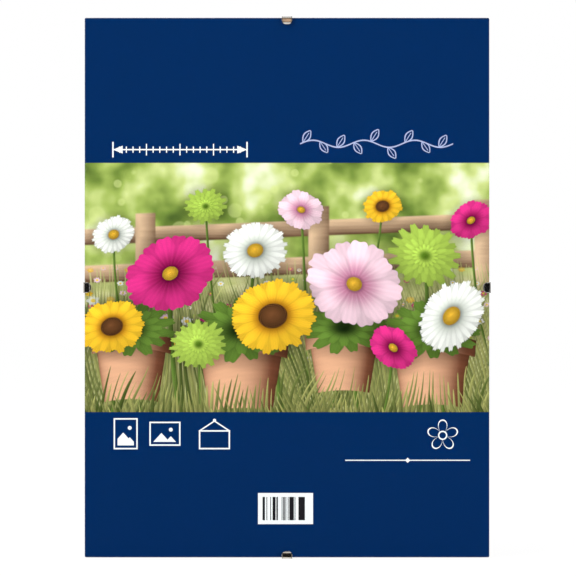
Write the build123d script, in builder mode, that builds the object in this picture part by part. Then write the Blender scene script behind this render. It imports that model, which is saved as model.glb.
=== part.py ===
"""Frameless clip frame for a 228.6 x 304.8 mm (9 x 12 in) print.

A sheet of glass, a printed insert and a hardboard back are held together by four spring steel clips,
one at the middle of each edge. Each clip hooks over the front of the glass, wraps round the edge and
bows along the back to a tail that drops into a slot in the board. Two sawtooth hangers riveted to
the board let the frame hang upright or sideways.

Millimetres. +X right and +Z up as seen from the front, +Y towards the wall. The origin is the middle
notch of the upper hanger, where the nail of an upright frame sits.
"""
import os
from math import cos, radians, sin, tan

from build123d import *

# Sheets
frame_width = 228.6
frame_height = 304.8
glass_thickness = 2.0
glass_arris = 0.3
glass_corner_radius = 0.8
insert_thickness = 0.3
insert_inset = 0.25
print_gap = 0.1
board_thickness = 3.0
board_inset = 0.3
board_arris = 0.25
board_corner_radius = 1.0

# Spring clips: the lip over the glass, the wall at the edge, the bowed leg and its hooked tail
clip_sheet = 0.6
lip_width = 6.0
lip_tip_radius = 2.3
rim_width = 0.7
rim_height = 0.22
grip_inset = 2.35
grip_gap = 0.05
curl_radius = 1.5
curl_angle = 52.0
lip_rise_angle = 9.0
edge_gap = 0.25
lip_bend_radius = 0.5
root_bend_radius = 0.9
leg_root_height = 1.6
leg_neck_length = 2.2
leg_shoulder_length = 7.0
leg_width = 8.6
leg_corner_radius = 6.0
leg_waist_length = 13.0
bow_inset = 11.5
bow_height = 3.0
bow_radius = 26.0
hook_inset = 26.0
hook_bend_radius = 0.5
hook_depth = 2.1
tail_width = 4.4
foot_gap = 0.1
slot_outer_room = 0.9
slot_inner_room = 0.6
slot_side_room = 0.4

# Sawtooth hangers
hanger_length = 45.0
hanger_height = 8.4
hanger_sheet = 0.8
hanger_pad_length = 8.0
hanger_step_length = 2.2
hanger_bend_radius = 0.5
hanger_corner_radius = 2.4
bridge_gap = 1.7
tooth_pitch = 3.0
tooth_depth = 1.6
notch_count = 7
hanger_drop = 46.0

# Rivets: a domed head over the hanger, a hollow shank and a flare set flush in the board's face
rivet_shank_radius = 1.5
rivet_fit = 0.05
rivet_head_radius = 2.9
rivet_head_height = 0.8
rivet_head_rim = 0.35
rivet_bore_radius = 0.9
rivet_bore_depth = 2.2
rivet_flare_radius = 2.6
rivet_flare_angle = 90.0
rivet_flush_room = 0.1

overrun = 1.0

# Where the sheets lie, from the wall side forwards
board_back = -(bridge_gap + hanger_sheet / 2)
board_front = board_back - board_thickness
insert_front = board_front - insert_thickness
glass_back = insert_front - print_gap
glass_front = glass_back - glass_thickness
stack_depth = board_back - glass_front
frame_middle = hanger_drop - frame_height / 2
side_hanger_offset = frame_width / 2 - hanger_drop

# Turns about +Y that carry the upper edge of the frame to each of the others, and how far out each is
edge_turns = {"top": 0, "right": 90, "bottom": 180, "left": 270}
edge_reaches = {
    "top": frame_height / 2,
    "right": frame_width / 2,
    "bottom": frame_height / 2,
    "left": frame_width / 2,
}
hanger_turns = {"upright": 0, "sideways": 270}
hanger_places = {
    "upright": (0, 0, 0),
    "sideways": (-side_hanger_offset, 0, frame_middle),
}
rivet_offsets = {
    "left": -(hanger_length - hanger_pad_length) / 2,
    "right": (hanger_length - hanger_pad_length) / 2,
}
rivet_rise = hanger_height / 2 - tooth_depth


def edge_location(side, depth, inset=0):
    """The middle of one edge of the frame, with local +Z pointing out of the frame there."""
    turn = edge_turns[side]
    reach = edge_reaches[side] - inset
    place = (reach * sin(radians(turn)), depth, frame_middle + reach * cos(radians(turn)))
    return Location(place, (0, turn, 0))


def hanger_location(name):
    """A hanger's middle notch, with its teeth pointing away from the nearest edge."""
    return Location(hanger_places[name], (0, hanger_turns[name], 0))


def rivet_location(name, end, depth):
    """The axis of one rivet at a depth, with local +Z pointing out of the frame's front."""
    place = Location((rivet_offsets[end], depth, rivet_rise), (90, 0, 0))
    return hanger_location(name) * place


def save(part, name):
    """Labels a finished piece and writes it to its own file."""
    part.label = name
    export_step(part, f"parts/{name}.step")


os.makedirs("parts", exist_ok=True)

# Glass: float glass with ground arrises
with BuildPart() as glass:
    with BuildSketch(Plane.XZ.offset(-glass_back)):
        with Locations((0, frame_middle)):
            RectangleRounded(frame_width, frame_height, glass_corner_radius)
    extrude(amount=glass_thickness)
    chamfer(glass.faces().filter_by(Axis.Y).edges(), glass_arris)
save(glass.part, "glass_sheet")

# Printed insert
with BuildPart() as insert:
    with BuildSketch(Plane.XZ.offset(-board_front)):
        with Locations((0, frame_middle)):
            Rectangle(frame_width - 2 * insert_inset, frame_height - 2 * insert_inset)
    extrude(amount=insert_thickness)
save(insert.part, "printed_insert")

# Hardboard back, with a slot for each clip tail and countersunk rivet holes
slot_length = slot_outer_room + clip_sheet + slot_inner_room
slot_inset = hook_inset - slot_outer_room + slot_length / 2
with BuildPart() as board:
    with BuildSketch(Plane.XZ.offset(-board_back)):
        with Locations((0, frame_middle)):
            RectangleRounded(
                frame_width - 2 * board_inset,
                frame_height - 2 * board_inset,
                board_corner_radius,
            )
    extrude(amount=board_thickness)
    chamfer(board.faces().filter_by(Axis.Y).edges(), board_arris)
    for side in edge_turns:
        with Locations(edge_location(side, board_back - board_thickness / 2, slot_inset)):
            Box(
                tail_width + 2 * slot_side_room,
                board_thickness + 2 * overrun,
                slot_length,
                mode=Mode.SUBTRACT,
            )
    for name in hanger_turns:
        for end in rivet_offsets:
            with Locations(rivet_location(name, end, board_front)):
                CounterSinkHole(
                    rivet_shank_radius + rivet_fit,
                    rivet_flare_radius + rivet_flush_room + rivet_fit,
                    depth=board_thickness + overrun,
                    counter_sink_angle=rivet_flare_angle,
                )
save(board.part, "hardboard_back")

# Spring clip. Its side view is drawn as depth behind the glass's front, then height above its edge.
curl_middle = (-(curl_radius + grip_gap), -grip_inset)
curl_end = (
    curl_middle[0] + curl_radius * cos(radians(lip_rise_angle)),
    curl_middle[1] + curl_radius * sin(radians(lip_rise_angle)),
)
lip_corner_depth = curl_end[0] - (edge_gap - curl_end[1]) * tan(radians(lip_rise_angle))
lip_reach = grip_inset + curl_radius * sin(radians(curl_angle))
wall_outside = edge_gap + clip_sheet
tail_end = hook_inset + clip_sheet


def draw_clip_line():
    """The side of the strip that faces the sheets, from the lip's curled tip to the hook's end."""
    CenterArc(curl_middle, curl_radius, -curl_angle, curl_angle + lip_rise_angle)
    FilletPolyline(
        curl_end,
        (lip_corner_depth, edge_gap),
        (stack_depth + leg_root_height, edge_gap),
        (stack_depth + bow_height, -bow_inset),
        (stack_depth + foot_gap, -hook_inset),
        (stack_depth - hook_depth, -hook_inset),
        radius=[lip_bend_radius, root_bend_radius, bow_radius, hook_bend_radius],
    )


def draw_lip_outline(root, margin=0):
    """The lip seen from the front, drawn in by a margin: straight sides and a rounded tip."""
    half_width = lip_width / 2 - margin
    tip = -lip_reach + margin
    FilletPolyline(
        (half_width, root),
        (half_width, tip),
        (-half_width, tip),
        (-half_width, root),
        radius=lip_tip_radius - margin,
    )
    Line((-half_width, root), (half_width, root))


# The outlines of the lip, at the front, and of the leg, at the wall side, that trim the bent strip
with BuildPart() as clip_blank:
    with BuildSketch(Plane.XZ.offset(-stack_depth / 2)):
        with BuildLine():
            draw_lip_outline(wall_outside + overrun)
        make_face()
    extrude(amount=stack_depth + overrun)
    with BuildSketch(Plane.XZ.offset(-stack_depth / 2)):
        with BuildLine():
            for sign in (1, -1):
                FilletPolyline(
                    (sign * lip_width / 2, wall_outside + overrun),
                    (sign * lip_width / 2, -leg_neck_length),
                    (sign * leg_width / 2, -leg_shoulder_length),
                    (sign * leg_width / 2, -leg_waist_length),
                    (sign * tail_width / 2, -tail_end),
                    radius=leg_corner_radius,
                )
            Line((-lip_width / 2, wall_outside + overrun), (lip_width / 2, wall_outside + overrun))
            Line((-tail_width / 2, -tail_end), (tail_width / 2, -tail_end))
        make_face()
    extrude(amount=-(stack_depth + bow_height + overrun))

# The raised rim along the lip's sides and tip
with BuildPart() as rim_blank:
    with BuildSketch(Plane.XZ.offset(-overrun)):
        with BuildLine():
            draw_lip_outline(wall_outside)
        make_face()
        with BuildLine():
            draw_lip_outline(wall_outside, rim_width)
        make_face(mode=Mode.SUBTRACT)
    extrude(amount=stack_depth)

with BuildPart() as rim:
    with BuildSketch(Plane.YZ):
        with BuildLine():
            draw_clip_line()
            offset(amount=clip_sheet + rim_height, side=Side.LEFT)
        make_face()
    extrude(amount=lip_width, both=True)
    add(rim_blank.part, mode=Mode.INTERSECT)

with BuildPart() as clip:
    with BuildSketch(Plane.YZ):
        with BuildLine():
            draw_clip_line()
            offset(amount=clip_sheet, side=Side.LEFT)
        make_face()
    extrude(amount=leg_width, both=True)
    add(clip_blank.part, mode=Mode.INTERSECT)
    add(rim.part)

for side in edge_turns:
    with BuildPart() as placed_clip:
        with Locations(edge_location(side, glass_front)):
            add(clip.part)
    save(placed_clip.part, f"clip_{side}")

# Sawtooth hanger: two pads on the board and a raised bridge with the teeth, its notches facing down
bridge_length = hanger_length - 2 * hanger_pad_length - 2 * hanger_step_length
with BuildPart() as hanger:
    with BuildSketch(Plane.XY.offset(-tooth_depth)):
        with BuildLine():
            FilletPolyline(
                (-hanger_length / 2, board_back),
                (-bridge_length / 2 - hanger_step_length, board_back),
                (-bridge_length / 2, -hanger_sheet / 2),
                (bridge_length / 2, -hanger_sheet / 2),
                (bridge_length / 2 + hanger_step_length, board_back),
                (hanger_length / 2, board_back),
                radius=[
                    hanger_bend_radius + hanger_sheet,
                    hanger_bend_radius,
                    hanger_bend_radius,
                    hanger_bend_radius + hanger_sheet,
                ],
            )
            offset(amount=hanger_sheet, side=Side.LEFT)
        make_face()
    extrude(amount=hanger_height)
    with BuildSketch(Plane.XZ.offset(-overrun)):
        with Locations((0, hanger_height / 2 - tooth_depth)):
            RectangleRounded(hanger_length, hanger_height, hanger_corner_radius)
        for number in range(notch_count):
            notch = (number - (notch_count - 1) / 2) * tooth_pitch
            with BuildLine():
                Polyline(
                    (notch - tooth_pitch / 2, -tooth_depth),
                    (notch, 0),
                    (notch + tooth_pitch / 2, -tooth_depth),
                    close=True,
                )
            make_face(mode=Mode.SUBTRACT)
        with Locations(*[(place, rivet_rise) for place in rivet_offsets.values()]):
            Circle(rivet_shank_radius + rivet_fit, mode=Mode.SUBTRACT)
    extrude(amount=-board_back + 2 * overrun, mode=Mode.INTERSECT)
for name in hanger_turns:
    with BuildPart() as placed_hanger:
        with Locations(hanger_location(name)):
            add(hanger.part)
    save(placed_hanger.part, f"{name}_hanger")

# Rivet, drawn as radius, then distance in front of the board's face
head_seat = -(board_thickness + hanger_sheet)
flare_root = -(rivet_flush_room + rivet_flare_radius - rivet_shank_radius)
flare_wall = rivet_shank_radius - rivet_bore_radius
with BuildPart() as rivet:
    with BuildSketch(Plane.XZ):
        with BuildLine():
            Polyline(
                (rivet_head_radius, head_seat - rivet_head_rim),
                (rivet_head_radius, head_seat),
                (rivet_shank_radius, head_seat),
                (rivet_shank_radius, flare_root),
                (rivet_flare_radius, -rivet_flush_room),
                (rivet_flare_radius - flare_wall, -rivet_flush_room),
                (rivet_bore_radius, flare_root),
                (rivet_bore_radius, -rivet_bore_depth),
                (0, -rivet_bore_depth),
                (0, head_seat - rivet_head_height),
            )
            TangentArc(
                (0, head_seat - rivet_head_height),
                (rivet_head_radius, head_seat - rivet_head_rim),
                tangent=(1, 0),
            )
        make_face()
    revolve(axis=Axis.Z)
for name in hanger_turns:
    for end in rivet_offsets:
        with BuildPart() as placed_rivet:
            with Locations(rivet_location(name, end, board_front)):
                add(rivet.part)
        save(placed_rivet.part, f"{name}_rivet_{end}")
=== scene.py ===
"""Dresses the clip frame: float glass over a printed insert, a hardboard back, four sprung clips and
two riveted hangers, seen straight on against a plain white background.

Metres, in the frame's own coordinates: +X right, +Z up and +Y towards the wall. The print is drawn in
millimetres from its own middle.
"""
import math

import bpy
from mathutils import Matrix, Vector


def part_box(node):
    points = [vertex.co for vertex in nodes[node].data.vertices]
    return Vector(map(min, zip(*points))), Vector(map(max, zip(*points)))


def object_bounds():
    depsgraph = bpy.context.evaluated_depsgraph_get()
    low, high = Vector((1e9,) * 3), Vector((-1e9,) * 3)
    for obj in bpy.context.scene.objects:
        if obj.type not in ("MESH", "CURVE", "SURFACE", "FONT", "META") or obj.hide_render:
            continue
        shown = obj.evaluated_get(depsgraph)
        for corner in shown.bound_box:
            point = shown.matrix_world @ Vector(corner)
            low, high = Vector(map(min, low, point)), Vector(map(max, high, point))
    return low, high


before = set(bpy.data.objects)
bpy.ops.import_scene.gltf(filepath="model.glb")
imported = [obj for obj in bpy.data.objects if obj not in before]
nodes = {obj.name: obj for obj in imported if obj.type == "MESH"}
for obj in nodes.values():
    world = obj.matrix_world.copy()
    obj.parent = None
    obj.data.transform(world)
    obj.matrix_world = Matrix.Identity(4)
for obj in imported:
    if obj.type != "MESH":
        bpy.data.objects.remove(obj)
cad_low, cad_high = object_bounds()
scene = bpy.context.scene

MM = 0.001

# The photograph's framing
photo_pixels = 576
pixel_size = 0.565 * MM
camera_distance = 3.0
sensor_width = 36.0
glass_middle_pixel = (287.0, 287.6)


def srgb(red, green, blue):
    """A colour given as 0 to 255 screen values, as the linear values that shaders take."""
    parts = [part / 255 for part in (red, green, blue)]
    linear = [part / 12.92 if part <= 0.04045 else ((part + 0.055) / 1.055) ** 2.4 for part in parts]
    return (*linear, 1.0)


class Field:
    """A number, vector or colour that varies over a surface: one output of a shader node."""

    def __init__(self, painter, socket):
        self.painter = painter
        self.socket = socket

    def __add__(self, other):
        return self.painter.maths("ADD", self, other)

    def __sub__(self, other):
        return self.painter.maths("SUBTRACT", self, other)

    def __rsub__(self, other):
        return self.painter.maths("SUBTRACT", other, self)

    def __mul__(self, other):
        return self.painter.maths("MULTIPLY", self, other)

    def __truediv__(self, other):
        return self.painter.maths("DIVIDE", self, other)

    def __pow__(self, other):
        return self.painter.maths("POWER", self, other)

    def __neg__(self):
        return self.painter.maths("MULTIPLY", self, -1.0)

    def __abs__(self):
        return self.painter.maths("ABSOLUTE", self)

    __radd__ = __add__
    __rmul__ = __mul__


class Painter:
    """Builds the shader nodes of one node tree from formulas."""

    def __init__(self, tree):
        self.tree = tree

    def plug(self, socket, value):
        """Links a field to an input, or sets the input to a constant."""
        if isinstance(value, Field):
            self.tree.links.new(value.socket, socket)
        else:
            socket.default_value = value

    def node(self, kind, inputs=None, **settings):
        """A new node, with its settings and inputs given by name or number."""
        made = self.tree.nodes.new(kind)
        for name, value in settings.items():
            setattr(made, name, value)
        for name, value in (inputs or {}).items():
            self.plug(made.inputs[name], value)
        return made

    def field(self, node, output=0):
        return Field(self, node.outputs[output])

    def maths(self, operation, *values):
        return self.field(self.node("ShaderNodeMath", dict(enumerate(values)), operation=operation))

    def split(self, vector):
        made = self.node("ShaderNodeSeparateXYZ", {0: vector})
        return [self.field(made, axis) for axis in range(3)]

    def object_point(self):
        """The place on the object, in metres."""
        return self.field(self.node("ShaderNodeTexCoord"), "Object")

    def object_normal(self):
        return self.field(self.node("ShaderNodeTexCoord"), "Normal")

    def ray(self, kind):
        return self.field(self.node("ShaderNodeLightPath"), f"Is {kind} Ray")

    def step(self, value, low, high, start=0.0, end=1.0):
        """Runs smoothly from start to end as the value goes from low to high."""
        made = self.node(
            "ShaderNodeMapRange",
            {0: value, 1: low, 2: high, 3: start, 4: end},
            interpolation_type="SMOOTHSTEP",
            clamp=False,
        )
        return self.field(made)

    def band(self, value, low, low_full, high_full, high):
        """Full from low_full to high_full, and nothing below low and above high."""
        return self.step(value, low, low_full) * self.step(value, high, high_full)

    def mix(self, share, first, second, clamp_factor=True):
        """A blend of two colours, with this share of the second."""
        made = self.node(
            "ShaderNodeMix", {0: share, 6: first, 7: second}, data_type="RGBA", clamp_factor=clamp_factor
        )
        return self.field(made, 2)

    def tint(self, colour, factor):
        """A colour made lighter or darker by a factor."""
        return self.mix(factor, (0.0, 0.0, 0.0, 1.0), colour, clamp_factor=False)

    def ramp(self, value, *stops, interpolation="LINEAR"):
        """A colour read from (place, colour) stops."""
        made = self.node("ShaderNodeValToRGB", {0: value})
        elements = made.color_ramp.elements
        made.color_ramp.interpolation = interpolation
        for element, (place, colour) in zip([elements[0], elements[-1]], [stops[0], stops[-1]]):
            element.position = place
            element.color = colour
        for place, colour in stops[1:-1]:
            elements.new(place).color = colour
        return self.field(made)

    def noise(self, point, scale, detail=2.0, roughness=0.5, distortion=0.0):
        given = {
            "Vector": point,
            "Scale": scale,
            "Detail": detail,
            "Roughness": roughness,
            "Distortion": distortion,
        }
        return self.field(self.node("ShaderNodeTexNoise", given), "Fac")

    def cells(self, point, scale):
        """A Voronoi texture's distance from the nearest cell's middle, and the cell's random colour."""
        made = self.node("ShaderNodeTexVoronoi", {"Vector": point, "Scale": scale})
        return [self.field(made, name) for name in ("Distance", "Color")]

    def chance(self, number):
        """A random-looking value from 0 to 1 for a number."""
        return self.maths("FRACT", self.maths("SINE", number * 12.9898) * 4375.8545)

    def split_colour(self, colour):
        made = self.node("ShaderNodeSeparateColor", {0: colour})
        return [self.field(made, part) for part in range(3)]

    def print_point(self, stretch=1.0, shift=0.0):
        """The place on the print in millimetres, for a texture, stretched along X and shifted."""
        given = {
            "Vector": self.object_point(),
            "Location": (shift, shift, 0.0),
            "Scale": (stretch / MM, 0.0, 1.0 / MM),
        }
        return self.field(self.node("ShaderNodeMapping", given))

    def bump(self, height, strength, distance):
        made = self.node("ShaderNodeBump", {"Height": height, "Strength": strength, "Distance": distance})
        return self.field(made)


def new_material(name):
    """An empty material, with a painter for its nodes and its output node."""
    material = bpy.data.materials.new(name)
    material.use_nodes = True
    material.node_tree.nodes.clear()
    painter = Painter(material.node_tree)
    return material, painter, painter.node("ShaderNodeOutputMaterial")


def principled(painter, output, **inputs):
    """A Principled shader on the output, with its inputs named by words joined by underscores."""
    named = {name.replace("_", " "): value for name, value in inputs.items()}
    made = painter.node("ShaderNodeBsdfPrincipled", named)
    painter.tree.links.new(made.outputs[0], output.inputs[0])
    return made


def dress(material, *names):
    """Puts one material on CAD nodes."""
    for name in names:
        for slot in nodes[name].material_slots:
            slot.material = material


COLOUR_SOCKETS = ("Under", "Over", "Inner", "Outer", "Heart Dark", "Heart Light", "Colour", "Dark", "Light")


def new_group(name, inputs):
    """A painter for a node group that paints over a picture, its inputs as fields, and its output node."""
    tree = bpy.data.node_groups.new(name, "ShaderNodeTree")
    inputs = ("Under", "U", "V", *inputs)
    for direction, sockets in (("INPUT", inputs), ("OUTPUT", ("Over",))):
        for socket in sockets:
            kind = "NodeSocketColor" if socket in COLOUR_SOCKETS else "NodeSocketFloat"
            tree.interface.new_socket(socket, in_out=direction, socket_type=kind)
    painter = Painter(tree)
    given = painter.node("NodeGroupInput")
    fields = [painter.field(given, socket) for socket in inputs]
    return painter, fields, painter.node("NodeGroupOutput")


def use_group(painter, group, **inputs):
    """A group's first output, with its inputs named by words joined by underscores."""
    made = painter.node("ShaderNodeGroup", node_tree=group)
    for name, value in inputs.items():
        painter.plug(made.inputs[name.replace("_", " ")], value)
    return painter.field(made)


BLOSSOM_INPUTS = (
    "Middle U", "Middle V", "Radius", "Squash", "Tilt", "Turn", "Petals", "Petal Width", "Blur",
    "Inner", "Outer", "Heart", "Heart Dark", "Heart Light",
)
# Where the light in the picture comes from, as a bearing from the right
light_bearing = 2.2
# The spirals of seeds in a flower's heart, one way round and the other
seed_spirals = (13.0, 21.0)


def blossom_group(name, whorls, has_heart):
    """One flower head, painted over what is under it: whorls are (turn share, reach, tone), back first."""
    painter, fields, output = new_group(name, BLOSSOM_INPUTS)
    under, u, v, middle_u, middle_v, radius, squash, tilt, turn = fields[:9]
    petals, petal_width, blur, inner, outer, heart, heart_dark, heart_light = fields[9:]
    maths = painter.maths
    du = u - middle_u
    dv = v - middle_v
    cosine = maths("COSINE", tilt)
    sine = maths("SINE", tilt)
    across_tilt = du * cosine + dv * sine
    along_tilt = (dv * cosine - du * sine) / squash
    reach = maths("SQRT", across_tilt * across_tilt + along_tilt * along_tilt) / radius
    bearing = maths("ARCTAN2", along_tilt, across_tilt)
    soft = blur / radius
    lit = 1.0 + 0.16 * maths("COSINE", maths("ARCTAN2", dv, du) - light_bearing)
    shade = painter.step(reach, 1.35, 0.8, 1.0, 0.62)
    over = painter.tint(under, shade)
    for turn_share, length, tone in whorls:
        share = (bearing + turn) * petals * (0.5 / math.pi) + turn_share
        number = maths("FLOOR", share)
        side = share - number - 0.5
        chance = painter.chance(number + middle_u + turn_share)
        along = reach / (length * (0.88 + 0.12 * chance)) + 0.025 * maths("COSINE", side * (6 * math.pi))
        arc = abs(side) * along * (2 * math.pi) / petals
        taper = maths("MAXIMUM", 1.0 - along ** 5.0, 0.0001)
        half = petal_width * along ** 0.55 * maths("SQRT", taper)
        mask = painter.step(half - arc, -soft, soft + 0.012) * painter.step(along, 1.0, 0.985)
        crease = maths("COSINE", side * 34.0) * 0.035
        edge = maths("POWER", maths("MINIMUM", arc / half, 1.0), 3.0)
        glow = (tone + 0.16 * (chance - 0.5) + crease - 0.2 * edge) * lit
        glow = glow * painter.step(along, 0.1, 0.75, 0.68, 1.0)
        colour = painter.mix(painter.step(along, 0.12, 0.72), inner, outer)
        over = painter.mix(mask, over, painter.tint(colour, glow))
    if has_heart:
        place = reach / heart
        ring = painter.step(place, 1.5, 0.9, 1.0, 0.6)
        over = painter.tint(over, ring)
        depth = maths("LOGARITHM", maths("MAXIMUM", place, 0.02), math.e)
        one_way, other_way = seed_spirals
        grain = maths("COSINE", bearing * one_way + depth * other_way)
        grain = grain * maths("COSINE", bearing * other_way - depth * one_way)
        dome = painter.step(place, 0.1, 1.0, 1.15, 0.6) * lit
        heart_colour = painter.mix(painter.step(grain, -0.4, 0.6), heart_dark, heart_light)
        mask = painter.step(place, 1.0 + soft * 3.0, 0.93 - soft * 2.0)
        over = painter.mix(mask, over, painter.tint(heart_colour, dome))
    painter.plug(output.inputs[0], over)
    return painter.tree


def stem_group():
    """A bent stalk that runs down from a point."""
    inputs = ("Top U", "Top V", "Lean", "Bend", "Half Width", "Blur", "Colour")
    painter, fields, output = new_group("stem", inputs)
    under, u, v, top_u, top_v, lean, bend, half_width, blur, colour = fields
    drop = top_v - v
    side = (u - top_u - drop * (lean + bend * drop)) / half_width
    soft = blur / half_width
    mask = painter.step(abs(side), 1.0 + soft, 1.0 - soft) * painter.step(drop, -0.2, 0.2)
    round_tone = 0.85 - 0.35 * side - 0.003 * drop
    painter.plug(output.inputs[0], painter.mix(mask, under, painter.tint(colour, round_tone)))
    return painter.tree


def blade_group():
    """A row of grass blades that stand on a base line, each of its own height and green."""
    inputs = ("Width", "Height", "Base", "Lean", "Bend", "Seed", "Blur", "Dark", "Light")
    painter, fields, output = new_group("blades", inputs)
    under, u, v, width, height, base, lean, bend, seed, blur, dark, light = fields
    maths = painter.maths
    rise = v - base
    wave = maths("SINE", u * 0.13 + seed) + maths("SINE", u * 0.051 + v * 0.02 + seed * 2.0)
    place = (u + (lean + wave * bend) * rise) / width + seed
    number = maths("FLOOR", place)
    side = place - number - 0.5
    chance = painter.chance(number + seed)
    other = painter.chance(number + seed + 0.37)
    third = painter.chance(number + seed + 0.71)
    top = height * (0.35 + 0.65 * chance)
    along = maths("MAXIMUM", rise / top, 0.0)
    half = (0.18 + 0.3 * other) * maths("POWER", maths("MAXIMUM", 1.0 - along, 0.0), 0.6)
    soft = blur / width
    mask = painter.step(half - abs(side), -soft, soft) * painter.step(along, 1.0, 0.97)
    tone = (0.55 + 0.55 * along) * painter.step(side, -0.05, 0.05, 1.12, 0.84)
    colour = painter.tint(painter.mix(third, dark, light), tone)
    painter.plug(output.inputs[0], painter.mix(mask, under, colour))
    return painter.tree


def sprinkle_group():
    """Many small flowers, one to a cell of a loose grid, between two heights."""
    inputs = ("Spacing", "Size", "Low", "High", "Share", "Seed", "Blur")
    painter, fields, output = new_group("sprinkle", inputs)
    under, u, v, spacing, size, low, high, share, seed, blur = fields
    maths = painter.maths
    row = maths("FLOOR", v / spacing)
    shifted = u / spacing + row * 0.37
    column = maths("FLOOR", shifted)
    key = column * 1.7 + row * 5.3 + seed
    first = painter.chance(key)
    second = painter.chance(key + 0.31)
    third = painter.chance(key + 0.67)
    fourth = painter.chance(key + 0.83)
    du = u - (column + 0.3 + 0.4 * first - row * 0.37) * spacing
    dv = v - (row + 0.3 + 0.4 * second) * spacing
    radius = size * (0.55 + 0.45 * third)
    reach = maths("SQRT", du * du + dv * dv * 1.9) / radius
    soft = blur / size
    lobes = 0.86 + 0.14 * maths("COSINE", maths("ARCTAN2", dv, du) * 7.0 + first * 6.0)
    shown = painter.step(fourth, share + 0.01, share) * painter.step(v, low, low + spacing)
    mask = painter.step(reach / lobes, 1.0 + soft, 1.0 - soft) * shown * painter.step(v, high, high - spacing)
    kinds = ((0.0, WHITE), (0.28, GOLD), (0.52, MAGENTA), (0.66, PINK), (0.86, LIME))
    stops = [(place, light) for place, (_, light) in kinds]
    petals = painter.tint(painter.ramp(second, *stops, interpolation="CONSTANT"), 0.95 - 0.25 * reach)
    colour = painter.mix(painter.step(reach, 0.42, 0.3), petals, YELLOW_HEART[1])
    painter.plug(output.inputs[0], painter.mix(mask, under, colour))
    return painter.tree


def pot_group():
    """A clay flowerpot with a rolled rim, lit from the upper left."""
    inputs = ("Middle U", "Foot V", "Height", "Half Width", "Blur", "Dark", "Light")
    painter, fields, output = new_group("pot", inputs)
    under, u, v, middle_u, foot_v, height, half_width, blur, dark, light = fields
    maths = painter.maths
    du = (u - middle_u) / half_width
    rise = (v - foot_v + du * du * half_width * 0.16) / height
    soft = blur / half_width
    over = under
    body = (0.0, 0.82, 0.66, 0.86, 0.92)
    rim = (0.76, 1.0, 0.97, 1.0, 1.06)
    for base, top, narrow, wide, tone in (body, rim):
        share = (rise - base) / (top - base)
        side = du / (narrow + (wide - narrow) * share)
        mask = painter.step(abs(side), 1.0 + soft, 1.0 - soft)
        mask = mask * painter.step(rise, base - soft, base + soft)
        mask = mask * painter.step(rise, top + soft, top - soft)
        facing = maths("SQRT", maths("MAXIMUM", 1.0 - side * side, 0.02))
        glow = tone * (0.55 + 0.5 * facing - 0.28 * side) * painter.step(share, 1.12, 0.86, 0.72, 1.0)
        streak = maths("SINE", rise * 41.0 + side * 3.0) * 0.02
        streak = streak + maths("SINE", rise * 97.0 - side * 5.0) * 0.015
        colour = painter.mix(painter.step(facing - side * 0.4, 0.2, 1.1), dark, light)
        over = painter.mix(mask, over, painter.tint(colour, glow + streak))
    painter.plug(output.inputs[0], over)
    return painter.tree


# The picture band of the print, in millimetres from the print's middle
picture_top = 70.5
picture_bottom = -70.4

LIME = (srgb(92, 128, 30), srgb(176, 206, 84))
WHITE = (srgb(196, 204, 190), srgb(248, 248, 242))
MAGENTA = (srgb(140, 8, 74), srgb(222, 48, 134))
PINK = (srgb(214, 128, 166), srgb(250, 212, 226))
GOLD = (srgb(214, 118, 8), srgb(252, 198, 44))
LEAF = (srgb(30, 52, 16), srgb(104, 138, 52))
BROWN_HEART = (srgb(48, 26, 16), srgb(138, 88, 48))
YELLOW_HEART = (srgb(170, 108, 14), srgb(246, 206, 66))
GREEN_HEART = (srgb(70, 84, 20), srgb(190, 190, 70))
CLAY = (srgb(142, 84, 58), srgb(228, 172, 136))

# Flower heads from the back to the front: kind, middle, radius, squash, tilt, petals, petal width, blur,
# petal colours, heart and its colours
FAR_FLOWERS = [
    ("daisy", (-98.0, 30.0), 13.0, 0.84, 0.4, 19, 0.14, 0.55, WHITE, 0.25, YELLOW_HEART),
    ("cosmos", (8.0, 44.0), 14.0, 0.80, -0.3, 8, 0.34, 0.50, PINK, 0.17, YELLOW_HEART),
    ("daisy", (54.0, 46.0), 12.0, 0.82, 0.2, 14, 0.20, 0.55, GOLD, 0.33, BROWN_HEART),
    ("pompon", (-46.0, 46.0), 13.0, 0.84, 0.1, 15, 0.19, 0.50, LIME, 0.0, GREEN_HEART),
    ("cosmos", (104.0, 38.0), 14.0, 0.76, 0.6, 8, 0.34, 0.45, MAGENTA, 0.18, YELLOW_HEART),
    ("daisy", (-18.0, 21.0), 20.0, 0.84, 0.3, 21, 0.13, 0.30, WHITE, 0.24, YELLOW_HEART),
    ("pompon", (78.0, 18.0), 22.0, 0.86, -0.2, 17, 0.17, 0.25, LIME, 0.0, GREEN_HEART),
]
NEAR_FLOWERS = [
    ("cosmos", (-66.0, 8.0), 28.0, 0.80, 0.5, 8, 0.34, 0.20, MAGENTA, 0.17, YELLOW_HEART),
    ("cosmos", (38.0, 2.0), 29.0, 0.88, -0.4, 8, 0.34, 0.20, PINK, 0.16, YELLOW_HEART),
    ("daisy", (-99.0, -22.0), 20.0, 0.80, 0.3, 15, 0.20, 0.25, GOLD, 0.33, BROWN_HEART),
    ("daisy", (93.0, -16.0), 23.0, 0.76, 0.9, 24, 0.12, 0.25, WHITE, 0.26, YELLOW_HEART),
    ("daisy", (-8.0, -16.0), 26.0, 0.84, 0.2, 16, 0.19, 0.15, GOLD, 0.33, BROWN_HEART),
    ("pompon", (-50.0, -32.0), 17.0, 0.88, 0.1, 19, 0.17, 0.20, LIME, 0.0, GREEN_HEART),
    ("cosmos", (60.0, -34.0), 16.0, 0.72, -0.7, 8, 0.34, 0.20, MAGENTA, 0.18, YELLOW_HEART),
]
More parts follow.
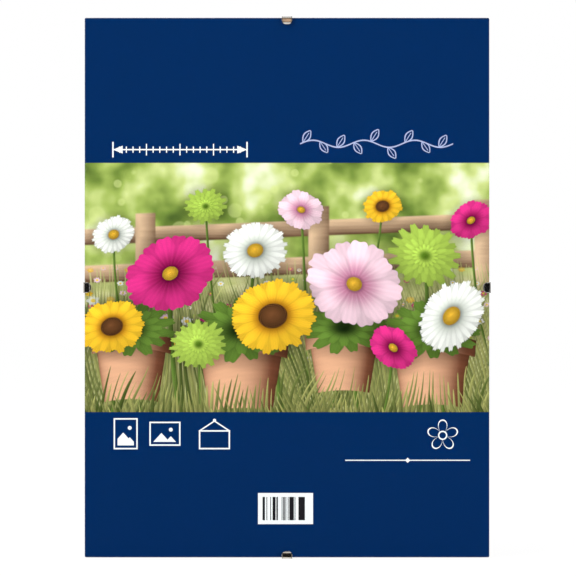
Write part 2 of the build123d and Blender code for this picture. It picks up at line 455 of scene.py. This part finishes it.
# Flowerpots from the back to the front: middle, foot, height and half width
POTS = [
    (32.0, -58.0, 34.0, 22.0),
    (-88.0, -63.0, 38.0, 23.0),
    (82.0, -66.0, 40.0, 25.0),
    (-26.0, -68.0, 42.0, 27.0),
]


def paint_background(painter, v):
    """Sunlit trees far out of focus, over a pale strip of meadow."""
    clumps = painter.noise(painter.print_point(), 0.035, detail=2.5, roughness=0.55)
    leaves = painter.ramp(
        clumps,
        (0.28, srgb(70, 92, 38)),
        (0.39, srgb(118, 142, 60)),
        (0.48, srgb(164, 184, 92)),
        (0.57, srgb(206, 218, 138)),
        (0.68, srgb(244, 246, 218)),
    )
    for seed, size, amount in ((3.0, 10.0, 0.4), (11.0, 15.0, 0.3)):
        distance, colour = painter.cells(painter.print_point(shift=seed), 1.0 / size)
        chance, other = painter.split_colour(colour)[:2]
        rim = 0.16 + 0.2 * other
        disc = painter.step(distance, rim + 0.05, rim - 0.03)
        shown = painter.step(chance, 0.5, 0.55) * painter.step(v, 6.0, 30.0) * amount
        leaves = painter.mix(disc * shown, leaves, srgb(222, 232, 150))
    grain = painter.noise(painter.print_point(0.35), 0.09, detail=3.0)
    meadow = painter.ramp(
        grain,
        (0.3, srgb(140, 152, 84)),
        (0.5, srgb(186, 188, 122)),
        (0.7, srgb(228, 222, 172)),
    )
    return painter.mix(painter.step(v + 8.0 * clumps, 20.0, 8.0), leaves, meadow)


def paint_fence(painter, under, u, v):
    """Two rails and their posts, weathered tan and a little out of focus."""
    slope = v - 0.04 * u
    grain = painter.noise(painter.print_point(0.05), 0.6, detail=2.0)
    dark = srgb(98, 66, 46)
    light = srgb(224, 188, 152)
    for height, half in ((33.0, 4.4), (12.0, 4.8)):
        side = (slope - height) / half
        mask = painter.step(abs(side), 1.16, 0.88)
        wood = painter.ramp(side * 0.4 + grain * 0.4 + 0.32, (0.1, dark), (0.9, light))
        under = painter.mix(mask, under, wood)
    for post, half in ((-80.0, 5.6), (18.0, 5.8), (112.0, 6.0)):
        side = (u - post) / half
        mask = painter.step(abs(side), 1.12, 0.9)
        mask = mask * painter.step(slope, 46.0, 44.5) * painter.step(slope, -8.0, 0.0)
        wood = painter.ramp(0.5 - side * 0.4 + grain * 0.3, (0.1, dark), (0.9, light))
        under = painter.mix(mask, under, wood)
    return under


def paint_picture(painter, u, v):
    """A garden meadow: flowers in the grass and in clay pots, with a rail fence and trees behind."""
    heads = {
        "cosmos": blossom_group("cosmos", ((0.5, 1.0, 0.8), (0.0, 0.97, 1.0)), True),
        "daisy": blossom_group("daisy", ((0.5, 1.0, 0.78), (0.0, 0.96, 1.0)), True),
        "pompon": blossom_group(
            "pompon", ((0.0, 1.0, 0.74), (0.5, 0.82, 0.86), (0.2, 0.6, 0.97), (0.7, 0.36, 1.08)), False
        ),
        "leaves": blossom_group("leaves", ((0.0, 1.0, 0.8), (0.5, 0.74, 1.05)), False),
    }
    blades = blade_group()
    stem = stem_group()
    sprinkle = sprinkle_group()
    pot = pot_group()

    def paint(picture, group, **inputs):
        return use_group(painter, group, Under=picture, U=u, V=v, **inputs)

    def grass(picture, width, height, base, lean, bend, seed, blur, dark, light):
        return paint(
            picture, blades, Width=width, Height=height, Base=base, Lean=lean, Bend=bend, Seed=seed,
            Blur=blur, Dark=dark, Light=light,
        )

    def flowers(picture, spacing, size, low, high, share, seed, blur):
        return paint(
            picture, sprinkle, Spacing=spacing, Size=size, Low=low, High=high, Share=share, Seed=seed,
            Blur=blur,
        )

    def stalk(picture, number, middle, radius):
        return paint(
            picture, stem, Top_U=middle[0], Top_V=middle[1], Lean=0.08 * math.sin(number * 2.3),
            Bend=0.0016 * math.cos(number * 1.7), Half_Width=0.05 * radius, Blur=0.3,
            Colour=srgb(104, 134, 54),
        )

    def head(
        picture, number, kind, middle, radius, squash, tilt, petals, width, blur, colours, heart, hearts
    ):
        return paint(
            picture, heads[kind], Middle_U=middle[0], Middle_V=middle[1], Radius=radius, Squash=squash,
            Tilt=tilt, Turn=number * 1.1, Petals=float(petals), Petal_Width=width, Blur=blur,
            Inner=colours[0], Outer=colours[1], Heart=heart, Heart_Dark=hearts[0], Heart_Light=hearts[1],
        )

    picture = paint_background(painter, v)
    picture = paint_fence(painter, picture, u, v)
    picture = grass(picture, 1.6, 26.0, -8.0, 0.2, 0.1, 5.0, 0.5, srgb(136, 148, 80), srgb(212, 208, 142))
    picture = flowers(picture, 7.0, 2.4, -20.0, 14.0, 0.55, 2.0, 0.5)
    picture = grass(picture, 1.9, 30.0, -20.0, -0.25, 0.12, 9.0, 0.4, srgb(116, 130, 66), srgb(204, 202, 130))
    for number, (kind, middle, radius, *form) in enumerate(FAR_FLOWERS):
        picture = stalk(picture, number, middle, radius)
        picture = head(picture, number, kind, middle, radius, *form)
    picture = flowers(picture, 12.0, 4.2, -44.0, 0.0, 0.5, 6.0, 0.35)
    picture = grass(picture, 2.2, 34.0, -38.0, 0.18, 0.13, 14.0, 0.3, srgb(98, 114, 52), srgb(190, 190, 112))
    for number, given in enumerate(NEAR_FLOWERS):
        picture = stalk(picture, number + len(FAR_FLOWERS), given[1], given[2])
    for middle_u, foot_v, height, half_width in POTS:
        picture = paint(
            picture, pot, Middle_U=middle_u, Foot_V=foot_v, Height=height, Half_Width=half_width, Blur=0.2,
            Dark=CLAY[0], Light=CLAY[1],
        )
        picture = paint(
            picture, heads["leaves"], Middle_U=middle_u, Middle_V=foot_v + 1.05 * height,
            Radius=1.15 * half_width, Squash=0.62, Tilt=0.0, Turn=middle_u, Petals=13.0, Petal_Width=0.22,
            Blur=0.25, Inner=LEAF[0], Outer=LEAF[1], Heart=0.0, Heart_Dark=LEAF[0], Heart_Light=LEAF[1],
        )
    for number, given in enumerate(NEAR_FLOWERS):
        picture = head(picture, number + len(FAR_FLOWERS), *given)
    picture = grass(picture, 2.6, 26.0, -70.0, -0.22, 0.15, 21.0, 0.2, srgb(84, 100, 42), srgb(184, 182, 108))
    picture = grass(picture, 3.0, 20.0, -76.0, 0.25, 0.17, 33.0, 0.2, srgb(70, 86, 36), srgb(174, 172, 100))
    return picture


# Print marks beside the picture
WHITE_INK = srgb(248, 250, 252)
LAVENDER_INK = srgb(176, 184, 222)
BLACK_INK = srgb(34, 32, 36)
NAVY = srgb(0, 40, 91)
PAPER = srgb(226, 226, 220)
# How softly a printed line ends, and half the width of a pictogram's outline
line_softness = 0.12
half_outline = 0.4


class Marks:
    """Plain drawn marks on the navy ground, in millimetres, each painted over what is there."""

    def __init__(self, painter, under, u, v):
        self.painter = painter
        self.colour = under
        self.u = u
        self.v = v

    def ink(self, mask, colour=WHITE_INK):
        self.colour = self.painter.mix(mask, self.colour, colour)

    def under_line(self, distance, half):
        """Covers places nearer than half to a line."""
        return self.painter.step(distance, half + line_softness, half - line_softness)

    def from_middle(self, middle_u, middle_v):
        return self.u - middle_u, self.v - middle_v

    def box(self, du, dv, half_u, half_v):
        """How far a place is outside a box."""
        return self.painter.maths("MAXIMUM", abs(du) - half_u, abs(dv) - half_v)

    def outlined_box(self, middle_u, middle_v, half_u, half_v):
        du, dv = self.from_middle(middle_u, middle_v)
        self.ink(self.under_line(abs(self.box(du, dv, half_u, half_v)), half_outline))
        return du, dv

    def landscape(self, du, dv, half_u, half_v):
        """Hills and a sun inside a pictogram."""
        maths = self.painter.maths
        inside = self.under_line(self.box(du, dv, half_u, half_v), 0.0)
        hill = maths("MINIMUM", abs(du + 0.3 * half_u) * 1.1, abs(du - 0.5 * half_u) * 1.1 + 0.4 * half_v)
        self.ink(inside * self.under_line(dv + hill, 0.1 * half_v))
        sun = maths("SQRT", (du - 0.5 * half_u) ** 2 + (dv - 0.5 * half_v) ** 2)
        self.ink(self.under_line(sun, 1.1))

    def measure(self, middle_u, middle_v, half_u, half_v, steps):
        """A dimension line with arrowheads, end bars and ticks."""
        maths = self.painter.maths
        du, dv = self.from_middle(middle_u, middle_v)
        from_end = half_u - abs(du)
        here = self.under_line(-from_end, 0.2)
        self.ink(here * self.under_line(abs(dv), 0.35))
        self.ink(self.under_line(abs(from_end), 0.4) * self.under_line(abs(dv), half_v))
        self.ink(self.under_line(abs(dv) - 0.4 * from_end, 0.0) * self.under_line(from_end, 5.5) * here)
        spacing = 2 * half_u / steps
        place = (du + half_u) / spacing + 0.5
        tick = abs(maths("FRACT", place) - 0.5) * spacing
        long = maths("FRACT", maths("FLOOR", place) * 0.2 + 0.01)
        height = self.painter.step(long, 0.1, 0.15, half_v * 0.75, half_v * 0.4)
        self.ink(here * self.under_line(tick, 0.3) * self.under_line(abs(dv), height))

    def vine(self, start_u, end_u, middle_v, spacing, leaf):
        """A waving stem with outlined leaves to either side."""
        maths = self.painter.maths
        along = self.u - start_u
        wave = (2 * math.pi) / (3 * spacing)
        height = maths("SINE", along * wave) * 2.0 + middle_v
        inside = self.under_line(abs(along - (end_u - start_u) / 2), (end_u - start_u) / 2)
        drawn = self.under_line(abs(self.v - height), 0.38)
        number = maths("FLOOR", along / spacing)
        base = number * spacing + 1.6
        side = 1.0 - 4.0 * maths("FRACT", number * 0.5 + 0.01)
        du = along - base
        dv = (self.v - maths("SINE", base * wave) * 2.0 - middle_v) * side
        length = (du * 0.55 + dv * 0.835) / leaf
        across = abs(du * 0.835 - dv * 0.55)
        half = maths("SINE", length * math.pi) * (0.24 * leaf)
        on_leaf = self.painter.step(length, 0.0, 0.03) * self.painter.step(length, 1.0, 0.97)
        edge = self.under_line(abs(across - half), 0.34)
        vein = self.under_line(across, 0.2) * self.painter.step(length, 0.8, 0.76)
        drawn = maths("MAXIMUM", drawn, maths("MAXIMUM", edge, vein) * on_leaf)
        self.ink(drawn * inside, LAVENDER_INK)

    def rosette(self, middle_u, middle_v, reach):
        """A five-petalled rosette in outline."""
        maths = self.painter.maths
        du, dv = self.from_middle(middle_u, middle_v)
        distance = maths("SQRT", du * du + dv * dv)
        petal = maths("POWER", abs(maths("COSINE", maths("ARCTAN2", du, dv) * 2.5)), 0.5) * reach
        self.ink(self.under_line(abs(distance - petal), 0.38) * self.under_line(-distance, -0.3 * reach))
        self.ink(self.under_line(abs(distance - 0.26 * reach), 0.38))

    def bars(self, middle_u, middle_v, half_u, half_v, module):
        """A white patch with plain bars of uneven width, which stand for no number."""
        maths = self.painter.maths
        du, dv = self.from_middle(middle_u, middle_v)
        self.ink(self.under_line(self.box(du, dv, half_u, half_v), 0.0))
        inside = self.under_line(self.box(du + 1.0, dv, 0.77 * half_u, 0.75 * half_v), 0.0)
        number = maths("FLOOR", du / module)
        shown = self.painter.step(self.painter.chance(number + 0.5), 0.47, 0.48)
        self.ink(inside * shown, BLACK_INK)


def paint_marks(painter, u, v):
    """Generic marks where the insert carries its small print."""
    marks = Marks(painter, NAVY, u, v)
    marks.measure(-60.5, 78.0, 37.9, 4.4, 20)
    marks.vine(7.4, 93.9, 81.3, 9.61, 8.0)
    du, dv = marks.outlined_box(-91.2, -82.6, 6.4, 8.4)
    marks.landscape(du, dv, 4.6, 6.6)
    du, dv = marks.outlined_box(-69.0, -82.6, 8.4, 6.4)
    marks.landscape(du, dv, 6.6, 4.6)
    du, dv = marks.outlined_box(-41.0, -86.0, 8.4, 5.0)
    string = abs(dv - 10.6 + abs(du) * 0.66) * 0.83
    marks.ink(marks.under_line(string, 0.35) * marks.under_line(abs(dv - 7.8), 2.8))
    marks.ink(marks.under_line(painter.maths("SQRT", du * du + (dv - 11.0) ** 2), 0.9))
    marks.rosette(88.0, -83.5, 8.6)
    du, dv = marks.from_middle(68.2, -97.6)
    marks.ink(marks.under_line(marks.box(du, dv, 35.3, 0.28), 0.0))
    marks.ink(marks.under_line(abs(du) + abs(dv), 1.5))
    marks.bars(-0.85, -124.9, 15.55, 8.8, 0.43)
    return marks.colour


# World
WHITE_LIGHT = (1.0, 1.0, 1.0, 1.0)
EVEN_LIGHT = (0.72, 0.72, 0.72, 1.0)
# What only shiny surfaces see
PANEL_BLACK = (0.001, 0.001, 0.001, 1.0)
FLAG_BLACK = (0.03, 0.03, 0.033, 1.0)
ROOM_GREY = (0.2, 0.21, 0.23, 1.0)
CARD_TAN = (1.0, 0.68, 0.46, 1.0)
OVERHEAD_GREY = (0.1, 0.11, 0.12, 1.0)
panel_half_angle = math.radians(36)
panel_full_angle = math.radians(23)
room_half_angle = math.radians(50)


def studio_in_gloss(painter, side, depth, rise):
    """What shiny surfaces see: white, with a dark panel in front of the object, a flag at each side with
    small windows and a strip in it, a grey room behind, a tan card low in front and a grey patch overhead."""
    ahead = -depth
    panel = painter.step(ahead, math.cos(panel_half_angle), math.cos(panel_full_angle))
    seen = painter.mix(panel, WHITE_LIGHT, PANEL_BLACK)
    height = abs(rise)
    width = abs(side)
    window = painter.band(height, 0.1, 0.15, 0.31, 0.37) * painter.step(width, 0.62, 0.72)
    strip = painter.band(ahead, 0.3, 0.38, 0.75, 0.85)
    strip = strip * painter.step(height, 0.09, 0.04) * painter.step(side, -0.45, -0.55, 0.0, 0.6)
    flag = (1.0 - painter.maths("MAXIMUM", window, strip)) * painter.step(width, 0.25, 0.42)
    flag_end = painter.step(side, -0.2, 0.2, 0.1, -0.45)
    flag = flag * painter.step(ahead - flag_end, -0.08, 0.08)
    seen = painter.mix(flag, seen, FLAG_BLACK)
    room = painter.step(depth, math.cos(room_half_angle), 1.0) * painter.step(rise, 0.5, -0.2)
    seen = painter.mix(room * 0.8, seen, ROOM_GREY)
    from_card = painter.maths("SQRT", (rise + 0.31) ** 2 + (side - 0.02) ** 2)
    card = painter.step(from_card, 0.16, 0.05) * painter.step(ahead, 0.0, 0.2)
    seen = painter.mix(card, seen, CARD_TAN)
    overhead = painter.step(rise, 0.93, 0.96) * painter.step(ahead, 0.0, 0.08)
    return painter.mix(overhead, seen, OVERHEAD_GREY)


def make_world():
    """White to the camera, even light on the object, and a studio for shiny surfaces."""
    world = bpy.data.worlds.new("studio")
    scene.world = world
    world.use_nodes = True
    world.node_tree.nodes.clear()
    painter = Painter(world.node_tree)
    direction = painter.field(painter.node("ShaderNodeTexCoord"), "Generated")
    seen_in_gloss = studio_in_gloss(painter, *painter.split(direction))
    shiny = painter.maths("MAXIMUM", painter.ray("Glossy"), painter.ray("Transmission"))
    light = painter.mix(shiny, EVEN_LIGHT, seen_in_gloss)
    light = painter.mix(painter.ray("Camera"), light, WHITE_LIGHT)
    background = painter.node("ShaderNodeBackground", {"Color": light, "Strength": 1.0})
    output = painter.node("ShaderNodeOutputWorld")
    painter.tree.links.new(background.outputs[0], output.inputs[0])


def make_camera():
    """Straight on, at the distance where one photograph pixel is one pixel of the render."""
    low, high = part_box("glass_sheet")
    middle = (low + high) / 2
    offset_x = (photo_pixels / 2 - glass_middle_pixel[0]) * pixel_size
    offset_z = (glass_middle_pixel[1] - photo_pixels / 2) * pixel_size
    camera = bpy.data.objects.new("camera", bpy.data.cameras.new("camera"))
    scene.collection.objects.link(camera)
    camera.location = (middle.x + offset_x, low.y - camera_distance, middle.z + offset_z)
    camera.rotation_euler = (math.radians(90), 0, 0)
    camera.data.sensor_width = sensor_width
    camera.data.lens = sensor_width * camera_distance / (photo_pixels * pixel_size)
    camera.data.clip_start = 0.1
    camera.data.clip_end = 60.0
    scene.camera = camera


def make_lamp(name, place, size, watts, target):
    """A soft square lamp that points at a target."""
    data = bpy.data.lights.new(name, "AREA")
    data.shape = "SQUARE"
    data.size = size
    data.energy = watts
    lamp = bpy.data.objects.new(name, data)
    scene.collection.objects.link(lamp)
    lamp.location = place
    lamp.visible_glossy = False
    lamp.rotation_euler = (target - Vector(place)).to_track_quat("-Z", "Y").to_euler()


def make_floor():
    """A plain pale floor under the lowest point, white to the camera but for a faint shadow."""
    data = bpy.data.meshes.new("floor")
    reach = 12.0
    level = cad_low.z
    corners = [(-reach, -reach, level), (reach, -reach, level), (reach, reach, level), (-reach, reach, level)]
    data.from_pydata(corners, [], [(0, 1, 2, 3)])
    floor = bpy.data.objects.new("floor", data)
    scene.collection.objects.link(floor)
    material, painter, output = new_material("floor")
    surface = painter.node("ShaderNodeBsdfDiffuse", {"Color": (0.82, 0.82, 0.82, 1.0)})
    glow = painter.node("ShaderNodeEmission", {"Color": (1.0, 1.0, 1.0, 1.0), "Strength": 1.1})
    share = painter.ray("Camera") * 0.8
    blend = painter.node("ShaderNodeMixShader", {0: share})
    painter.tree.links.new(surface.outputs[0], blend.inputs[1])
    painter.tree.links.new(glow.outputs[0], blend.inputs[2])
    painter.tree.links.new(blend.outputs[0], output.inputs[0])
    data.materials.append(material)
    floor.visible_glossy = False
    floor.visible_transmission = False


# Materials
def glass_material():
    """Clear float glass, with a ground edge that shows its green."""
    material, painter, output = new_material("clear_glass")
    edge = painter.step(abs(painter.split(painter.object_normal())[1]), 0.6, 0.3)
    look = principled(
        painter, output, Base_Color=(0.985, 0.995, 0.99, 1.0), Roughness=0.0, IOR=1.52,
        Transmission_Weight=1.0, Specular_IOR_Level=0.3,
    )
    ground = principled(
        painter, output, Base_Color=srgb(92, 142, 123), Roughness=0.3, Specular_IOR_Level=0.3
    )
    # The light on the print goes straight through
    clear = painter.node("ShaderNodeBsdfTransparent", {0: (0.97, 0.98, 0.975, 1.0)})
    for_light = painter.maths("MAXIMUM", painter.ray("Shadow"), painter.ray("Diffuse"))
    for share, other in ((edge, ground), (for_light, clear)):
        blend = painter.node("ShaderNodeMixShader", {0: share})
        painter.tree.links.new(look.outputs[0], blend.inputs[1])
        painter.tree.links.new(other.outputs[0], blend.inputs[2])
        look = blend
    painter.tree.links.new(look.outputs[0], output.inputs[0])
    return material


def print_material():
    """The printed insert: navy with its marks and the picture across its middle, on white paper."""
    material, painter, output = new_material("satin_print")
    x, _, z = painter.split(painter.object_point())
    low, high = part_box("printed_insert")
    u = x / MM
    v = (z - (low.z + high.z) / 2) / MM
    in_front = painter.step(-painter.split(painter.object_normal())[1], 0.4, 0.6)
    soft = 0.05
    in_band = painter.step(v, picture_bottom - soft, picture_bottom + soft)
    in_band = in_band * painter.step(v, picture_top + soft, picture_top - soft)
    marked = painter.mix(in_front, PAPER, paint_marks(painter, u, v))
    looks = [
        painter.node("ShaderNodeBsdfPrincipled", {"Base Color": colour, "Roughness": 0.2})
        for colour in (marked, paint_picture(painter, u, v))
    ]
    blend = painter.node("ShaderNodeMixShader", {0: in_band * in_front})
    for place, look in enumerate(looks):
        look.inputs["Specular IOR Level"].default_value = 0.2
        painter.tree.links.new(look.outputs[0], blend.inputs[place + 1])
    painter.tree.links.new(blend.outputs[0], output.inputs[0])
    return material


# Edges that turn by more than this are rounded
sharp_angle = math.radians(38)


def geometry_group(name):
    """An empty geometry node group, with a painter for its nodes, its input node and its output node."""
    tree = bpy.data.node_groups.new(name, "GeometryNodeTree")
    for direction in ("INPUT", "OUTPUT"):
        tree.interface.new_socket("Geometry", in_out=direction, socket_type="NodeSocketGeometry")
    painter = Painter(tree)
    return painter, painter.node("NodeGroupInput"), painter.node("NodeGroupOutput")


def smooth_shading():
    """Shades every face smooth."""
    painter, given, output = geometry_group("smooth_shading")
    smooth = painter.node("GeometryNodeSetShadeSmooth")
    painter.tree.links.new(given.outputs[0], smooth.inputs[0])
    painter.tree.links.new(smooth.outputs[0], output.inputs[0])
    return painter.tree


def lip_edges(name, axis, middle, beyond):
    """Gives full bevel weight to the sharp front edges that lie far out along one axis."""
    painter, given, output = geometry_group(name)
    place = painter.split(painter.field(painter.node("GeometryNodeInputPosition")))[axis]
    towards = painter.split(painter.field(painter.node("GeometryNodeInputNormal")))[1]
    angle = painter.field(painter.node("GeometryNodeInputMeshEdgeAngle"))
    chosen = painter.maths("GREATER_THAN", abs(place - middle), beyond)
    chosen = chosen * painter.maths("LESS_THAN", towards, -0.3)
    chosen = chosen * painter.maths("GREATER_THAN", angle, sharp_angle)
    store = painter.node("GeometryNodeStoreNamedAttribute", data_type="FLOAT", domain="EDGE")
    painter.tree.links.new(given.outputs[0], store.inputs["Geometry"])
    store.inputs["Name"].default_value = "bevel_weight_edge"
    painter.plug(store.inputs["Value"], chosen)
    painter.tree.links.new(store.outputs[0], output.inputs[0])
    return painter.tree


def round_edges(shading, width, segments, *names, wide=None, wide_width=0.0):
    """Rounds the sharp edges of CAD nodes inside their faces, those that a group weighs more widely."""
    for name in names:
        modifiers = nodes[name].modifiers
        modifiers.new("weld", "WELD").merge_threshold = 0.001 * MM
        if wide:
            modifiers.new("weigh", "NODES").node_group = wide
            bevel = modifiers.new("wide", "BEVEL")
            bevel.width = wide_width
            bevel.segments = 4
            bevel.limit_method = "WEIGHT"
            bevel.use_clamp_overlap = False
        bevel = modifiers.new("round", "BEVEL")
        bevel.width = width
        bevel.segments = segments
        bevel.limit_method = "ANGLE"
        bevel.angle_limit = sharp_angle
        modifiers.new("shading", "NODES").node_group = shading
        modifiers.new("normals", "WEIGHTED_NORMAL").keep_sharp = False


def millimetres(painter, x=1.0, y=1.0, z=1.0, turn=0.0):
    """The place on the object in millimetres, for a texture, turned about Y and stretched along each axis."""
    made = painter.node(
        "ShaderNodeMapping",
        {"Vector": painter.object_point(), "Rotation": (0.0, turn, 0.0), "Scale": (MM / x, MM / y, MM / z)},
        vector_type="TEXTURE",
    )
    return painter.field(made)


# The pitch of the press screen's print on the board's back
screen_pitch = 1.5 * MM


def board_material():
    """Hardboard: pressed brown fibre, with the press screen's print on its back and rough sawn edges."""
    material, painter, output = new_material("pressed_fibre")
    normal = painter.split(painter.object_normal())
    x, _, z = painter.split(painter.object_point())
    behind = painter.step(normal[1], 0.4, 0.6)
    edge = painter.step(abs(normal[1]), 0.6, 0.4)
    mottle = painter.noise(millimetres(painter), 0.09, detail=4.0, roughness=0.6)
    lays = []
    for turn in (0.3, 1.35, 2.4):
        along = millimetres(painter, 0.35, 1.0, 2.2, turn)
        lays.append(painter.noise(along, 0.8, detail=3.0, roughness=0.65, distortion=0.9))
    fibre = painter.maths("MAXIMUM", painter.maths("MAXIMUM", lays[0], lays[1]), lays[2])
    flecks = painter.cells(millimetres(painter, 0.7, 1.0, 1.3), 0.8)[0]
    tone = mottle * 0.45 + fibre * 0.75 - 0.16
    colour = painter.ramp(
        tone,
        (0.28, srgb(84, 54, 34)),
        (0.42, srgb(112, 76, 48)),
        (0.55, srgb(136, 96, 62)),
        (0.72, srgb(170, 128, 88)),
    )
    colour = painter.mix(painter.step(flecks, 0.16, 0.08) * 0.5, colour, srgb(64, 40, 26))
    colour = painter.mix(edge * 0.45, colour, srgb(186, 146, 104))
    wave = 2 * math.pi / screen_pitch
    screen = painter.maths("SINE", x * wave) * painter.maths("SINE", z * wave)
    colour = painter.mix(behind * painter.step(screen, 0.1, -0.9) * 0.22, colour, srgb(70, 44, 28))
    height = screen * behind * 0.5 + fibre * 0.8 + painter.noise(millimetres(painter), 2.6, detail=2.0) * edge
    rough = 0.5 + behind * 0.14 + edge * 0.2 + fibre * 0.1
    principled(
        painter, output, Base_Color=colour, Roughness=rough, Specular_IOR_Level=0.4,
        Normal=painter.bump(height, 0.5, 0.12 * MM),
    )
    return material


def clip_material():
    """Bright nickel-plated spring steel, with faint draw lines and a faint cloudy tone all over."""
    material, painter, output = new_material("bright_nickel")
    lines = painter.noise(millimetres(painter, 6.0, 0.7, 0.7), 1.4, detail=2.0)
    cloud = painter.noise(millimetres(painter), 0.35, detail=3.0, roughness=0.6)
    scratches = painter.step(painter.noise(millimetres(painter, 0.5, 9.0, 1.0), 1.1, detail=1.0), 0.62, 0.7)
    colour = painter.ramp(cloud, (0.3, srgb(208, 203, 196)), (0.65, srgb(226, 222, 216)))
    rough = 0.12 + cloud * 0.06 + scratches * 0.1
    principled(
        painter, output, Base_Color=colour, Metallic=1.0, Roughness=rough,
        Normal=painter.bump(lines, 0.12, 0.02 * MM),
    )
    return material


def zinc_material(name, light, dark, rough):
    """Zinc plate: pale cloudy crystals, with light scuffs from the press."""
    material, painter, output = new_material(name)
    crystals = painter.split_colour(painter.cells(millimetres(painter), 0.9)[1])[0]
    cloud = painter.noise(millimetres(painter), 0.22, detail=4.0, roughness=0.6)
    scuffs = painter.step(painter.noise(millimetres(painter, 0.3, 1.0, 5.0), 0.9, detail=2.0), 0.6, 0.7)
    tone = crystals * 0.2 + cloud * 0.8
    colour = painter.ramp(tone, (0.25, dark), (0.7, light))
    principled(
        painter, output, Base_Color=colour, Metallic=1.0,
        Roughness=rough + 0.14 * tone + 0.1 * scuffs,
        Normal=painter.bump(painter.noise(millimetres(painter), 2.0, detail=2.0), 0.15, 0.03 * MM),
    )
    return material


make_world()
make_camera()
make_floor()
middle = (cad_low + cad_high) / 2
make_lamp("key", place=(-1.6, -2.2, 1.3), size=1.4, watts=50.0, target=middle)
make_lamp("fill", place=(1.9, -1.9, 0.5), size=1.6, watts=24.0, target=middle)

dress(glass_material(), "glass_sheet")
dress(print_material(), "printed_insert")
dress(board_material(), "hardboard_back")
dress(clip_material(), "clip_top", "clip_right", "clip_bottom", "clip_left")
zinc_plate = zinc_material("zinc_plate", srgb(214, 217, 222), srgb(166, 172, 182), 0.22)
dress(zinc_plate, "upright_hanger", "sideways_hanger")
rivets = [f"{row}_rivet_{end}" for row in ("upright", "sideways") for end in ("left", "right")]
dress(zinc_material("rivet_plate", srgb(190, 188, 180), srgb(140, 138, 132), 0.3), *rivets)

shading = smooth_shading()
glass_low, glass_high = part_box("glass_sheet")
glass_middle = (glass_low + glass_high) / 2
# The lips' side edges, out along X on two clips and along Z on the others, are rounded more than the rest
lip_half_width = 2.45 * MM
across_lips = {
    0: ("clip_top", "clip_bottom"),
    2: ("clip_right", "clip_left"),
}
for axis, names in across_lips.items():
    wide = lip_edges(f"lip_edges_{axis}", axis, glass_middle[axis], lip_half_width)
    round_edges(shading, 0.14 * MM, 3, *names, wide=wide, wide_width=0.42 * MM)
round_edges(shading, 0.12 * MM, 2, "upright_hanger", "sideways_hanger")
round_edges(shading, 0.18 * MM, 3, "glass_sheet")
round_edges(shading, 0.2 * MM, 2, "hardboard_back")

scene.view_settings.view_transform = "Standard"
